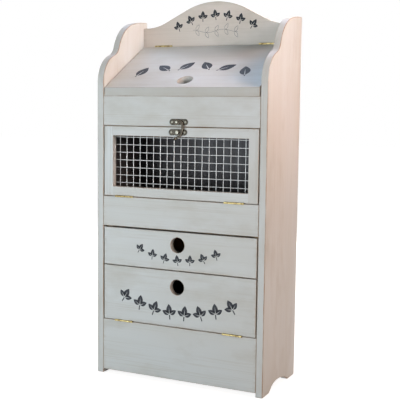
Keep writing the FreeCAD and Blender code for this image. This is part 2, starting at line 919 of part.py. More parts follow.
def staple_legs(at, along, over, extra=0.0):
    length = staple_leg + over + extra
    return [
        rod(staple_wire_radius + extra, length, at + along * (hand * staple_half_span) + V(0, over, 0), FRONT)
        for hand in (-1, 1)
    ]


def staple_bores():
    return [leg for place in staple_places() for leg in staple_legs(*place, fit_clear)]


def mesh_staples():
    staples = []
    for at, along, over in staple_places():
        middle = at + V(0, over, 0)
        crown = rod(staple_wire_radius, 2 * staple_half_span, middle - along * staple_half_span, along)
        ends = [
            Part.makeSphere(staple_wire_radius, middle + along * (hand * staple_half_span))
            for hand in (-1, 1)
        ]
        staples.append(crown.fuse(ends + staple_legs(at, along, over)).removeSplitter())
    return staples


# ---- drawer ----
def drawer_half():
    return inner - guide_width - guide_play


def drawer_end():
    return shelf_back - drawer_back_clear


def drawer_groove():
    """The space that the bottom panel slides into, with a little play."""
    half = drawer_half() - drawer_side_thick + groove_depth
    low = drawer_low + drawer_bottom_rise
    high = low + drawer_bottom_thick + 2 * groove_play
    return block(-half, half, board_thick - groove_depth, drawer_end(), low, high)


def drawer_front():
    board = block(-front_half, front_half, 0, board_thick, drawer_low, drawer_top)
    centre = V(0, -board_thick, drawer_top - drawer_hole_drop)
    hole = rod(finger_hole_radius, 3 * board_thick, centre, BACK)
    return cut_all(board, [hole, drawer_groove()] + drawer_nail_bores())


def drawer_side(hand):
    half = drawer_half()
    low, high = sorted((hand * (half - drawer_side_thick), hand * half))
    board = block(low, high, board_thick, drawer_end(), drawer_low, drawer_low + drawer_side_height)
    return cut_all(board, [drawer_groove()] + drawer_nail_bores())


def drawer_bottom():
    half = drawer_half() - drawer_side_thick + groove_depth - groove_play
    front = board_thick - groove_depth + groove_play
    low = drawer_low + drawer_bottom_rise + groove_play
    panel = block(-half, half, front, drawer_end(), low, low + drawer_bottom_thick)
    return cut_all(panel, drawer_nail_bores())


def drawer_back():
    """Stands on the bottom panel, between the sides."""
    half = drawer_half() - drawer_side_thick
    front = drawer_end() - drawer_side_thick
    low = drawer_low + drawer_bottom_rise + drawer_bottom_thick + 2 * groove_play
    board = block(-half, half, front, drawer_end(), low, drawer_low + drawer_side_height)
    return cut_all(board, drawer_nail_bores())


def drawer_nail_places():
    """Nails through the sides into the back, and up through the bottom into the back."""
    half = drawer_half()
    y = drawer_end() - drawer_side_thick / 2
    sunk = nail_head_thick
    places = []
    for hand in (-1, 1):
        for share in drawer_nail_shares:
            z = drawer_low + share * drawer_side_height
            places.append((V(hand * (half - sunk), y, z), V(-hand, 0, 0)))
    for x in (-half / 2, 0, half / 2):
        places.append((V(x, y, drawer_low + drawer_bottom_rise + groove_play), UP))
    return places


def drawer_nail_bores():
    return [placed(nail(drawer_nail_length, fit_clear), at, axis) for at, axis in drawer_nail_places()]


def drawer_nails():
    return [placed(nail(drawer_nail_length), at, axis) for at, axis in drawer_nail_places()]


# ---- potato flap ----
def potato_flap():
    board = block(-front_half, front_half, 0, board_thick, flap_bottom, flap_top)
    hole = rod(finger_hole_radius, 3 * board_thick, V(0, -board_thick, flap_top - flap_hole_drop), BACK)
    pilot = placed(flat_screw(catch_screw, fit_clear), strike_place(), FRONT)
    return cut_all(board, [hole, pilot] + leaf_cuts("flap", True))


# ---- all the pieces ----
def carcass():
    return {
        "left_side_panel": side_panel(-1),
        "right_side_panel": side_panel(1),
        "bottom_board": bottom_board(),
        "middle_rail": middle_rail(),
        "top_rail": top_rail(),
        "crest_board": crest_board(),
        "back_panel": back_panel(),
        "bottom_shelf": shelf(lowest_shelf),
        "drawer_shelf": shelf(drawer_deck),
        "onion_shelf": shelf(onion_shelf),
        "shelf_cleats": shelf_cleats(),
        "cleat_screws": cleat_screws(),
        "rail_dowels": rail_dowels(),
        "back_panel_nails": back_panel_nails(),
        "drawer_guides": drawer_guides(),
        "door_stop": door_stop(),
        "magnet_case": magnet_case(),
        "magnet_screws": magnet_screws(),
    }


def latch():
    return {
        "latch_base_plate": latch_base_plate(),
        "latch_base_screws": latch_screws(base_plate_x, base_plate_z),
        "latch_rivet": latch_rivet(),
        "latch_hook": latch_hook(),
        "latch_catch_plate": latch_catch_plate(),
        "latch_catch_post": latch_catch_post(),
        "latch_catch_screws": latch_screws(catch_plate_x, catch_plate_z),
    }


def hinges():
    nodes = {"fixed_leaf_screws": []}
    for name, hand, placement, offset in hinge_places():
        nodes[name + "_hinge_" + hand + "_fixed_leaf"] = set_in(leaf(False, offset), placement)
        nodes[name + "_hinge_" + hand + "_moving_leaf"] = set_in(leaf(True, offset), placement)
        nodes.setdefault(name + "_hinge_pins", []).append(set_in(hinge_pin(), placement))
    for name in ("lid", "door", "flap"):
        nodes["fixed_leaf_screws"] += leaf_screws_of(name, False)
        nodes[name + "_leaf_screws"] = leaf_screws_of(name, True)
    return nodes


def mesh_door():
    return {
        "door_left_stile": door_stile(-1),
        "door_right_stile": door_stile(1),
        "door_bottom_rail": door_bottom_rail(),
        "door_top_rail": door_top_rail(),
        "wire_mesh": wire_mesh(),
        "mesh_staples": mesh_staples(),
    }


def drawer():
    return {
        "drawer_front": drawer_front(),
        "drawer_left_side": drawer_side(-1),
        "drawer_right_side": drawer_side(1),
        "drawer_bottom": drawer_bottom(),
        "drawer_back": drawer_back(),
        "drawer_nails": drawer_nails(),
    }


def flap():
    return {
        "potato_flap": potato_flap(),
        "strike_plate": strike_plate(),
        "strike_screw": strike_screw(),
    }


def save(name, shape):
    """Writes a node; a list of solids becomes one compound."""
    if isinstance(shape, list):
        shape = Part.makeCompound(shape)
    shape.translate(V(0, front_y, 0))
    shape.exportStep("parts/" + name + ".step")


os.makedirs("parts", exist_ok=True)
nodes = {"lid_board": lid_board()}
for group in (carcass(), latch(), hinges(), mesh_door(), drawer(), flap()):
    nodes.update(group)
for name, shape in nodes.items():
    save(name, shape)
print(len(nodes), "nodes; lid pin", round(lid_pin_y + front_y, 3), round(lid_pin_z, 3))
print("front plane", round(front_y, 3), "door pin", round(middle_top + hinge_gap / 2, 3))
print("flap pin", round(board_top + hinge_gap / 2, 3), "rivet", round(rivet_x, 3), round(rivet_z, 3))
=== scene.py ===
import json
import math
import random

import bmesh
import bpy
from mathutils import Matrix, Vector

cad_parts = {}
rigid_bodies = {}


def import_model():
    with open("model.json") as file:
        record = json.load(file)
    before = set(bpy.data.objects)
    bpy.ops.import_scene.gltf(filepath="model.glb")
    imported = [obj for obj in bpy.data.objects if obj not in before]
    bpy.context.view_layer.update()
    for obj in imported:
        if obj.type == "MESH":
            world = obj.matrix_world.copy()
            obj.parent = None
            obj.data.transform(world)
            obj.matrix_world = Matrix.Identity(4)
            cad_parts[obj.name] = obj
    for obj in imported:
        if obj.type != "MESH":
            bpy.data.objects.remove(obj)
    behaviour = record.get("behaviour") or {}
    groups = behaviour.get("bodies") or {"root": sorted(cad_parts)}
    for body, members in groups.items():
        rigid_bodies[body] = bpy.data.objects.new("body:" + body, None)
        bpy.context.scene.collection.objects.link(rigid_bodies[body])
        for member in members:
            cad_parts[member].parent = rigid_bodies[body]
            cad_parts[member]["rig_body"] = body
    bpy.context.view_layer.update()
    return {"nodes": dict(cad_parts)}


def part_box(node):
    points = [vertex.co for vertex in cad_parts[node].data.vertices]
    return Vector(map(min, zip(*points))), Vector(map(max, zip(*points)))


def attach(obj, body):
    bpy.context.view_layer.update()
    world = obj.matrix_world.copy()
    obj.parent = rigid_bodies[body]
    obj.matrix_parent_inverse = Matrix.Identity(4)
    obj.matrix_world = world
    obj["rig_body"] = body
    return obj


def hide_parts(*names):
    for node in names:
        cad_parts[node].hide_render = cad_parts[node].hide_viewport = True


# A vegetable cabinet in whitewashed softwood: the boards get eased, rubbed
# arrises and grain, the mesh its weld beads, the latch its rounded bronze, and
# the crest, lid, drawer and flap their painted leaves. Metres; the front faces -Y.

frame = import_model()
nodes = frame["nodes"]
random.seed(7)

MM = 0.001

# ---- the cabinet's own planes, read off its pieces ----
panel_low, panel_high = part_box("right_side_panel")
inner_x = panel_low.x
front_plane, fronts_back = (corner.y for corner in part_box("top_rail"))
crest_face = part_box("crest_board")[0].y
lid_low_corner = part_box("lid_board")[0]
lid_faces = [face for face in nodes["lid_board"].data.polygons if face.normal.z > 0.5]
lid_normal = max(lid_faces, key=lambda face: face.area).normal
lid_slope = math.atan2(-lid_normal.y, lid_normal.z)

# ---- edges ----
ARRIS = 0.9 * MM                  # a softened board edge
WORN_ARRIS = 1.5 * MM             # the side panels' and lid's edges are rubbed rounder
SHARP_DEG = 32                    # edges that turn more than this are softened

# ---- finger holes ----
HOLE_RADIUS = 19.0 * MM
LID_HOLE_FROM_EDGE = 37.1 * MM    # up the slope from the lid's front edge
DRAWER_HOLE_DROP = 32.1 * MM      # below the drawer front's top edge
FLAP_HOLE_DROP = 39.5 * MM        # below the flap's top edge
LID_THICK = 18.0 * MM             # the lid's hole is bored from its middle

# ---- paint, grime and painted shade ----
GRUBBY_REACH = 10.0 * MM          # how far a board is grubby, in from its edges
SHADE_DEPTH = 0.3 * MM            # of the painted shade in a side panel's inner face
SHADE_FADE = 1.0 * MM             # over which the painted shade begins, at the fronts and under the lid
LID_SEAM = 2.0 * MM               # the painted shade ends this far above the lid's underside
PAINT_FILM = 0.15 * MM            # the marks stand this proud of their board
PAINT_ROOT = 0.1 * MM             # and reach this far into it
SPRIG_LINE = 0.9 * MM             # width of the sprig's drawn lines

# ---- wire mesh ----
ROW_STEPS, COLUMN_STEPS = 20, 8   # straight stretches of a wavy wire
SWAY = 0.22 * MM                  # the most that a wire strays to either side
DEPTH_SWAY = 0.4                  # share of the sway from front to back
BEAD_SWELL = (1.2, 1.55)          # least and most size of a bead against its wire
BEAD_SHAPE = (1.0, 0.9, 0.85)     # its proportions across, in depth and upright

# ---- bench ----
NEAR = 0.01 * MM                  # places nearer than this are the same
MERGE = 0.002 * MM                # corners nearer than this are joined
DRILL_LENGTH = 80.0 * MM          # longer than any board is thick
OVERCUT = 10.0 * MM               # how far a cutting block reaches past a board


# =====================================================================
# Materials
# =====================================================================
class Recipe:
    """A material's node tree, with short ways to add nodes and to join them."""

    def __init__(self, name):
        self.material = bpy.data.materials.new(name)
        self.material.use_nodes = True
        self.tree = self.material.node_tree
        self.shader = self.tree.nodes["Principled BSDF"]
        self.output = self.tree.nodes["Material Output"]

    def node(self, kind, inputs=None, **settings):
        made = self.tree.nodes.new("ShaderNode" + kind)
        for key, value in settings.items():
            setattr(made, key, value)
        for key, value in (inputs or {}).items():
            self.feed(made.inputs[key], value)
        return made

    def feed(self, socket, value):
        """Joins a node's output to a socket, or sets the socket to a plain value."""
        if isinstance(value, bpy.types.NodeSocket):
            self.tree.links.new(value, socket)
        else:
            socket.default_value = value

    def set(self, **values):
        for key, value in values.items():
            self.feed(self.shader.inputs[key.replace("_", " ")], value)

    def place(self, scale):
        """Object coordinates, moved by the piece's own plank number and stretched."""
        coordinates = self.node("TexCoord").outputs["Object"]
        plank = self.node("Attribute", attribute_name="plank").outputs["Fac"]
        offset = self.node("VectorMath", {0: (3.7, 2.9, 5.3), "Scale": plank}, operation="SCALE")
        moved = self.node("VectorMath", {0: coordinates, 1: offset.outputs[0]}, operation="ADD")
        return self.node("Mapping", {"Vector": moved.outputs[0], "Scale": scale}).outputs[0]

    def edge_distance(self, first, second):
        """How far a point is from its board's nearest edge, over two of the three axes."""
        here = self.node("TexCoord").outputs["Object"]
        low = self.node("Attribute", attribute_name="board_low").outputs["Vector"]
        high = self.node("Attribute", attribute_name="board_high").outputs["Vector"]
        nearest = None
        for big, small in ((here, low), (high, here)):
            gap = self.node("VectorMath", {0: big, 1: small}, operation="SUBTRACT").outputs[0]
            parts = self.node("SeparateXYZ", {0: gap}).outputs
            for axis in (first, second):
                part = parts["xyz".index(axis)]
                nearest = part if nearest is None else self.work_out("MINIMUM", nearest, part)
        return nearest

    def inside_box(self):
        """1 on the side panels' inner faces behind the front boards and under the lid, else 0: where the
        inside is painted dark as painted shade.
        """
        here = self.node("SeparateXYZ", {0: self.node("TexCoord").outputs["Object"]}).outputs
        across = self.work_out("ABSOLUTE", here[0])
        within = self.between(across, inner_x + SHADE_DEPTH / 3, inner_x + SHADE_DEPTH, 1.0, 0.0)
        behind = self.between(here[1], fronts_back - SHADE_FADE, fronts_back)
        rise = self.times(self.work_out("SUBTRACT", here[1], lid_low_corner.y), math.tan(lid_slope))
        height = self.work_out("SUBTRACT", here[2], self.plus(rise, lid_low_corner.z))
        below = self.between(height, LID_SEAM, LID_SEAM + SHADE_FADE, 1.0, 0.0)
        return self.times(within, self.times(behind, below))

    def noise(self, scale, detail, roughness=0.55, distortion=0.0):
        """Clouds with values from 0 to 1, finer along an axis where its scale is larger."""
        inputs = {
            "Vector": self.place(scale), "Scale": 1.0, "Detail": detail,
            "Roughness": roughness, "Distortion": distortion,
        }
        return self.node("TexNoise", inputs).outputs["Fac"]

    def between(self, value, low, high, out_low=0.0, out_high=1.0):
        """Spreads a value from low..high over out_low..out_high."""
        inputs = {
            "Value": value, "From Min": low, "From Max": high,
            "To Min": out_low, "To Max": out_high,
        }
        return self.node("MapRange", inputs, clamp=True).outputs[0]

    def work_out(self, operation, *values):
        """One step of arithmetic on node outputs or plain numbers."""
        return self.node("Math", dict(enumerate(values)), operation=operation).outputs[0]

    def plus(self, first, second):
        return self.work_out("ADD", first, second)

    def times(self, first, second):
        return self.work_out("MULTIPLY", first, second)

    def blend(self, amount, first, second):
        """Colour mix: first where amount is 0, second where it is 1."""
        mix = self.node("Mix", data_type="RGBA")
        self.feed(mix.inputs[0], amount)
        self.feed(mix.inputs[6], first)
        self.feed(mix.inputs[7], second)
        return mix.outputs[2]

    def bump(self, height, strength, distance):
        made = self.node("Bump", {"Height": height, "Strength": strength, "Distance": distance})
        self.feed(self.shader.inputs["Normal"], made.outputs[0])


def shade(red, green, blue):
    """An sRGB colour, written 0 to 255, as linear light."""
    def linear(part):
        part = part / 255
        return part / 12.92 if part <= 0.04045 else ((part + 0.055) / 1.055) ** 2.4
    return linear(red), linear(green), linear(blue), 1.0


def grain_scale(along, lengthwise, across):
    """A noise's scale on each axis, for grain that runs along one of them."""
    return tuple(lengthwise if axis == along else across for axis in "xyz")


def even(scale):
    """A noise's scale on each axis, for clouds that are as wide as they are long."""
    return scale, scale, scale


def grain_lines(recipe, along):
    """Fine pores, year rings and slow waves of the wood, each as one value from 0 to 1."""
    pores = recipe.noise(grain_scale(along, 6, 420), 4.0, 0.65)
    rings = recipe.noise(grain_scale(along, 1.1, 46), 2.0, 0.5, 0.35)
    waves = recipe.noise(grain_scale(along, 2.2, 9), 2.0)
    return pores, rings, waves


def whitewash(name, along, faces, paint, thin, smudge, side_panel=False):
    """Thin matt white over softwood: the grain shows through where the coat is thin.

    The coat is grubbier close to the board's edges, measured over the axes of `faces`.
    A side panel is grubby on its broad faces only, and inside the cabinet it is painted dark grey with
    grain: painted shade of the cabinet's inside.
    """
    recipe = Recipe(name)
    pores, rings, waves = grain_lines(recipe, along)
    streak = recipe.between(rings, 0.40, 0.66)
    worn_streak = recipe.times(streak, recipe.between(pores, 0.45, 0.75))
    base = recipe.blend(recipe.between(waves, 0.30, 0.72), paint, thin)
    streaked = recipe.blend(recipe.between(worn_streak, 0.0, 1.0, 0.0, 0.50), base, smudge)
    patches = recipe.noise(grain_scale(along, 6, 13), 4.0, 0.6)
    clouded = recipe.blend(recipe.between(patches, 0.50, 0.74, 0.0, 0.42), streaked, smudge)
    near_edge = recipe.between(recipe.edge_distance(*faces), 0.0, GRUBBY_REACH, 0.7, 0.0)
    ragged = recipe.noise(grain_scale(along, 20, 110), 4.0, 0.6)
    grubby = recipe.times(near_edge, recipe.between(ragged, 0.42, 0.68, 0.0, 0.75))
    if side_panel:
        facing = recipe.node("SeparateXYZ", {0: recipe.node("NewGeometry").outputs["Normal"]}).outputs[0]
        sideways = recipe.work_out("ABSOLUTE", facing)
        grubby = recipe.times(grubby, recipe.between(sideways, 0.5, 0.9))
    colour = recipe.blend(grubby, clouded, smudge)
    height = recipe.plus(pores, recipe.times(rings, 1.6))
    # painted shade: dark grey with grain on the side panels' inner faces inside the cabinet
    if side_panel:
        shaded_wood = recipe.blend(streak, INSIDE_SHADE, INSIDE_SHADE_DEEP)
        pored_shade = recipe.blend(recipe.between(pores, 0.52, 0.78), shaded_wood, INSIDE_SHADE_PORE)
        colour = recipe.blend(recipe.inside_box(), colour, pored_shade)
    recipe.set(Base_Color=colour, Roughness=recipe.between(waves, 0.2, 0.8, 0.36, 0.50))
    recipe.set(Specular_IOR_Level=0.5)
    recipe.bump(height, 0.3, 0.2 * MM)
    return recipe.material


def rubbed_edge(name, along, paint, bare):
    """An arris where the coat is rubbed through to the wood in uneven stretches."""
    recipe = Recipe(name)
    stretches = recipe.noise(even(14), 4.0, 0.6)
    fibres = recipe.noise(grain_scale(along, 25, 300), 3.0, 0.6)
    amount = recipe.between(recipe.plus(stretches, recipe.times(fibres, 0.45)), 0.50, 0.90)
    recipe.set(Base_Color=recipe.blend(amount, paint, bare), Roughness=0.6, Specular_IOR_Level=0.3)
    recipe.bump(fibres, 0.4, 0.2 * MM)
    return recipe.material


def bare_wood(name, along, early, late, dark):
    """Planed softwood: pale early wood, darker late wood, a few dark flecks."""
    recipe = Recipe(name)
    pores, rings, waves = grain_lines(recipe, along)
    rays = recipe.blend(recipe.between(rings, 0.38, 0.62), early, late)
    toned = recipe.blend(recipe.between(waves, 0.3, 0.8, 0.0, 0.35), rays, late)
    colour = recipe.blend(recipe.between(pores, 0.58, 0.80, 0.0, 0.6), toned, dark)
    recipe.set(Base_Color=colour, Roughness=recipe.between(pores, 0.2, 0.8, 0.55, 0.72))
    recipe.set(Specular_IOR_Level=0.3)
    recipe.bump(recipe.plus(pores, rings), 0.4, 0.25 * MM)
    return recipe.material


def metal(name, bright, dull, rough_low, rough_high, spots):
    """Plated or patinated metal: two tones in fine clouds, with uneven gloss."""
    recipe = Recipe(name)
    clouds = recipe.noise(even(spots), 4.0, 0.6)
    fine = recipe.noise(even(1200), 2.0)
    colour = recipe.blend(recipe.between(clouds, 0.38, 0.66), bright, dull)
    recipe.set(Base_Color=colour, Metallic=1.0)
    recipe.set(Roughness=recipe.between(clouds, 0.3, 0.7, rough_low, rough_high))
    recipe.bump(fine, 0.12, 0.05 * MM)
    return recipe.material


def aged_bronze(name, dark, mid, pale):
    """Lacquered bronze, rubbed pale in spots where fingers and screwdrivers reach."""
    recipe = Recipe(name)
    clouds = recipe.noise(even(260), 4.0, 0.62)
    worn = recipe.noise(even(900), 3.0, 0.6)
    base = recipe.blend(recipe.between(clouds, 0.35, 0.7), dark, mid)
    colour = recipe.blend(recipe.between(worn, 0.60, 0.74, 0.0, 0.8), base, pale)
    recipe.set(Base_Color=colour, Metallic=0.85, Roughness=recipe.between(clouds, 0.3, 0.7, 0.28, 0.5))
    recipe.bump(worn, 0.25, 0.08 * MM)
    return recipe.material


def flat_paint(name, colour, faded, wear_low, wear_high):
    """Stencil paint, a little uneven and faded where it lies thin."""
    recipe = Recipe(name)
    mottle = recipe.noise(even(160), 4.0, 0.6)
    tone = recipe.blend(recipe.between(mottle, wear_low, wear_high), colour, faded)
    recipe.set(Base_Color=tone, Roughness=0.55, Specular_IOR_Level=0.3)
    recipe.bump(mottle, 0.2, 0.05 * MM)
    return recipe.material


def moulded_plastic(name, colour, other):
    """Plastic with a faint, fine mottle."""
    recipe = Recipe(name)
    mottle = recipe.noise(even(700), 2.0)
    recipe.set(Base_Color=recipe.blend(mottle, colour, other), Roughness=0.48)
    recipe.bump(mottle, 0.15, 0.05 * MM)
    return recipe.material


PAINT = shade(212, 214, 212)
PAINT_THIN = shade(204, 202, 195)
PAINT_SMUDGE = shade(176, 167, 150)
# the crest's whitewash tinted warmer: painted warm light falling from the right
CREST_WARM_LIT = shade(220, 210, 200)
CREST_THIN_WARM_LIT = shade(208, 198, 186)
LID_FRONT_PAINT = shade(200, 199, 194)
# a darker, greyer whitewash for the lid's front face
LID_FRONT_THIN = shade(190, 187, 179)
BARE = shade(150, 118, 88)
BARE_TAN = shade(168, 136, 108)
# painted shade of the cabinet's inside, dark grey with pores
INSIDE_SHADE = shade(94, 92, 94)
INSIDE_SHADE_DEEP = shade(80, 77, 79)
INSIDE_SHADE_PORE = shade(60, 57, 59)
PINE = shade(214, 186, 148), shade(190, 152, 110), shade(140, 104, 72)

wash_across = whitewash("whitewash_grain_across", "x", "xz", PAINT, PAINT_THIN, PAINT_SMUDGE)
wash_upright = whitewash("whitewash_grain_upright", "z", "xz", PAINT, PAINT_THIN, PAINT_SMUDGE)
wash_sides = whitewash("whitewash_sides", "z", "yz", PAINT, PAINT_THIN, PAINT_SMUDGE, side_panel=True)
crest_wash_lit = whitewash("whitewash_crest_warm_lit", "x", "xz", CREST_WARM_LIT, CREST_THIN_WARM_LIT, PAINT_SMUDGE)
lid_front_wash = whitewash("whitewash_darker_lid_front", "x", "xz", LID_FRONT_PAINT, LID_FRONT_THIN, PAINT_SMUDGE)
rub_across = rubbed_edge("rubbed_arris_across", "x", PAINT_THIN, BARE)
rub_upright = rubbed_edge("rubbed_arris_upright", "z", PAINT_THIN, BARE_TAN)
pine_across = bare_wood("bare_pine_across", "x", *PINE)
pine_deep = bare_wood("bare_pine_front_to_back", "y", *PINE)
ply_upright = bare_wood("plywood_face", "z", shade(204, 176, 138), shade(186, 152, 112), shade(150, 118, 84))
# the back panel's inner face: plywood painted dark grey as painted shade of the cabinet's inside
shaded_ply = bare_wood("plywood_painted_shade", "z", shade(104, 102, 104), shade(92, 89, 90), shade(72, 69, 70))
beech = bare_wood("beech_dowel", "x", shade(206, 170, 130), shade(188, 150, 110), shade(150, 112, 80))
brass = metal("dull_brass", shade(198, 182, 130), shade(112, 90, 50), 0.30, 0.48, 130)
galvanised = metal("galvanised_wire", shade(214, 215, 214), shade(186, 188, 188), 0.48, 0.62, 160)
zinc = metal("zinc_plated_steel", shade(196, 196, 192), shade(158, 158, 156), 0.28, 0.45, 300)
bronze = aged_bronze("aged_bronze", shade(38, 36, 33), shade(74, 68, 58), shade(150, 142, 125))
# the hook's rounded edges: worn bronze and a painted highlight, nearly white
pale_bronze_and_highlight = aged_bronze("pale_bronze_edge_and_highlight", shade(96, 82, 66), shade(176, 158, 138), shade(214, 198, 180))
nickel = metal("worn_nickel", shade(160, 158, 146), shade(104, 100, 90), 0.28, 0.5, 700)
charcoal = flat_paint("charcoal_stencil", shade(34, 36, 43), shade(62, 64, 70), 0.5, 0.8)
pencil_grey = flat_paint("grey_line_paint", shade(120, 118, 114), shade(170, 166, 160), 0.45, 0.75)
brown_plastic = moulded_plastic("brown_catch_plastic", shade(96, 66, 44), shade(108, 76, 52))


# =====================================================================
# Bench work
# =====================================================================
def clear_selection():
    if bpy.context.mode != "OBJECT":
        bpy.ops.object.mode_set(mode="OBJECT")
    bpy.ops.object.select_all(action="DESELECT")


def take_up(piece):
    """Makes a piece the only selected and active object."""
    clear_selection()
    piece.select_set(True)
    bpy.context.view_layer.objects.active = piece
    return piece


def new_object(name, data):
    """Puts a new object with this mesh, curve, light or camera into the scene."""
    made = bpy.data.objects.new(name, data)
    bpy.context.scene.collection.objects.link(made)
    return made


def open_all(piece):
    """Opens a piece in edit mode with all of it selected."""
    take_up(piece)
    bpy.ops.object.mode_set(mode="EDIT")
    bpy.ops.mesh.select_all(action="SELECT")


def settle(piece):
    """Puts a piece's place, turn and size into its mesh, so that it sits at the origin."""
    take_up(piece)
    bpy.ops.object.transform_apply(location=True, rotation=True, scale=True)
    return piece


def finish_surface(piece, materials, plank=None, box=None, smooth_deg=28):
    """Gives a piece its materials, its plank number, its board's box and smooth shading."""
    slots = piece.data.materials
    for number, material in enumerate(materials):
        if number < len(slots):
            slots[number] = material
        else:
            slots.append(material)
    count = len(piece.data.vertices)
    if plank is not None:
        numbers = piece.data.attributes.new("plank", "FLOAT", "POINT")
        numbers.data.foreach_set("value", [plank] * count)
    for name, corner in zip(("board_low", "board_high"), box or ()):
        places = piece.data.attributes.new(name, "FLOAT_VECTOR", "POINT")
        places.data.foreach_set("vector", list(corner) * count)
    take_up(piece)
    bpy.ops.object.shade_smooth_by_angle(angle=math.radians(smooth_deg))
    return piece


def faces_of(node):
    """A CAD piece's faces as lists of corners, rounded so that shared corners are equal."""
    mesh = nodes[node].data
    places = [tuple(round(part, 6) for part in vertex.co) for vertex in mesh.vertices]
    return [[places[i] for i in face.vertices] for face in mesh.polygons]


def outline_of(node, axis, level):
    """The longest closed outline of a CAD piece's flat face at a level on an axis."""
    ways = {}
    for corners in faces_of(node):
        if all(abs(corner[axis] - level) < NEAR for corner in corners):
            for a, b in zip(corners, corners[1:] + corners[:1]):
                if ways.get((b, a)):
                    ways[(b, a)] -= 1
                else:
                    ways[(a, b)] = ways.get((a, b), 0) + 1
    onward = {a: b for (a, b), count in ways.items() if count}
    loops = []
    while onward:
        start = next(iter(onward))
        loop = [start]
        here = onward.pop(start)
        while here != start and here in onward:
            loop.append(here)
            here = onward.pop(here)
        loops.append(loop)
    return max(loops, key=lambda loop: sum(math.dist(a, b) for a, b in zip(loop, loop[1:] + loop[:1])))


def thick_piece(name, corners, faces, push):
    """A piece whose flat faces are pulled out into solids by `push`."""
    mesh = bpy.data.meshes.new(name)
    mesh.from_pydata(corners, [], faces)
    piece = new_object(name, mesh)
    open_all(piece)
    bpy.ops.mesh.extrude_region_move(TRANSFORM_OT_translate={"value": push})
    bpy.ops.mesh.select_all(action="SELECT")
    bpy.ops.mesh.normals_make_consistent(inside=False)
    bpy.ops.object.mode_set(mode="OBJECT")
    return piece


def cut_away(piece, tool):
    """Takes the tool's shape out of the piece and throws the tool away."""
    take_up(piece)
    cut = piece.modifiers.new("cut", "BOOLEAN")
    cut.operation = "DIFFERENCE"
    cut.solver = "EXACT"
    cut.object = tool
    bpy.ops.object.modifier_apply(modifier=cut.name)
    bpy.data.objects.remove(tool)
    return piece


def drill(piece, centre, axis):
    """Bores a finger hole along an axis."""
    turn = Vector((0, 0, 1)).rotation_difference(Vector(axis)).to_euler()
    clear_selection()
    bpy.ops.mesh.primitive_cylinder_add(
        vertices=72, radius=HOLE_RADIUS, depth=DRILL_LENGTH, location=centre, rotation=turn)
    return cut_away(piece, bpy.context.active_object)


def cut_block(piece, low, high):
    """Takes the upright block between two corners out of the piece."""
    clear_selection()
    bpy.ops.mesh.primitive_cube_add(size=1, location=(Vector(low) + Vector(high)) / 2)
    block = bpy.context.active_object
    block.scale = Vector(high) - Vector(low)
    return cut_away(piece, settle(block))


def ease(piece, width, keep_sharp=None):
    """Softens a piece's sharp edges, apart from those for which keep_sharp is true.

    The softened strips get the piece's second material.
    """
    take_up(piece)
    while len(piece.data.materials) < 2:
        piece.data.materials.append(None)
    bpy.ops.object.mode_set(mode="EDIT")
    bpy.ops.mesh.select_mode(type="EDGE")
    bpy.ops.mesh.select_all(action="DESELECT")
    bpy.ops.mesh.edges_select_sharp(sharpness=math.radians(SHARP_DEG))
    if keep_sharp:
        shape = bmesh.from_edit_mesh(piece.data)
        for edge in shape.edges:
            if edge.select and keep_sharp([vertex.co for vertex in edge.verts]):
                edge.select = False
        bmesh.update_edit_mesh(piece.data)
    bpy.ops.mesh.bevel(offset=width, segments=2, profile=0.5, material=1, clamp_overlap=False)
    bpy.ops.object.mode_set(mode="OBJECT")
    return piece


def stand_in_for(piece, node):
    """The piece takes a CAD node's place, on the node's own body."""
    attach(piece, nodes[node]["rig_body"])
    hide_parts(node)
    return piece


def merged_copy(node, name):
    """A CAD piece's own shape with its loose triangles joined into whole faces."""
    mesh = nodes[node].data.copy()
    mesh.name = name
    piece = new_object(name, mesh)
    open_all(piece)
    bpy.ops.mesh.remove_doubles(threshold=MERGE)
    bpy.ops.mesh.dissolve_limited(angle_limit=math.radians(0.6))
    bpy.ops.object.mode_set(mode="OBJECT")
    return piece


# =====================================================================
# Boards
# =====================================================================
def on_plane(axis, *levels):
    """A test that is true for edges that lie in one of the planes."""
    return lambda ends: any(all(abs(end[axis] - level) < NEAR for end in ends) for level in levels)


X, Y = 0, 1
UP, FRONT, BACK = (0, 0, 1), (0, -1, 0), (0, 1, 0)
# their hinge leaves' shallow seats are filled by the leaves, so these are plain oblongs
HINGED_EDGES = {"bottom_board", "potato_flap", "middle_rail", "door_bottom_rail"}
WORN_EDGES = {"left_side_panel", "right_side_panel", "lid_board"}
# the crest's warmer whitewash is painted warm light
OWN_WASH = {"crest_board": crest_wash_lit, "left_side_panel": wash_sides, "right_side_panel": wash_sides}


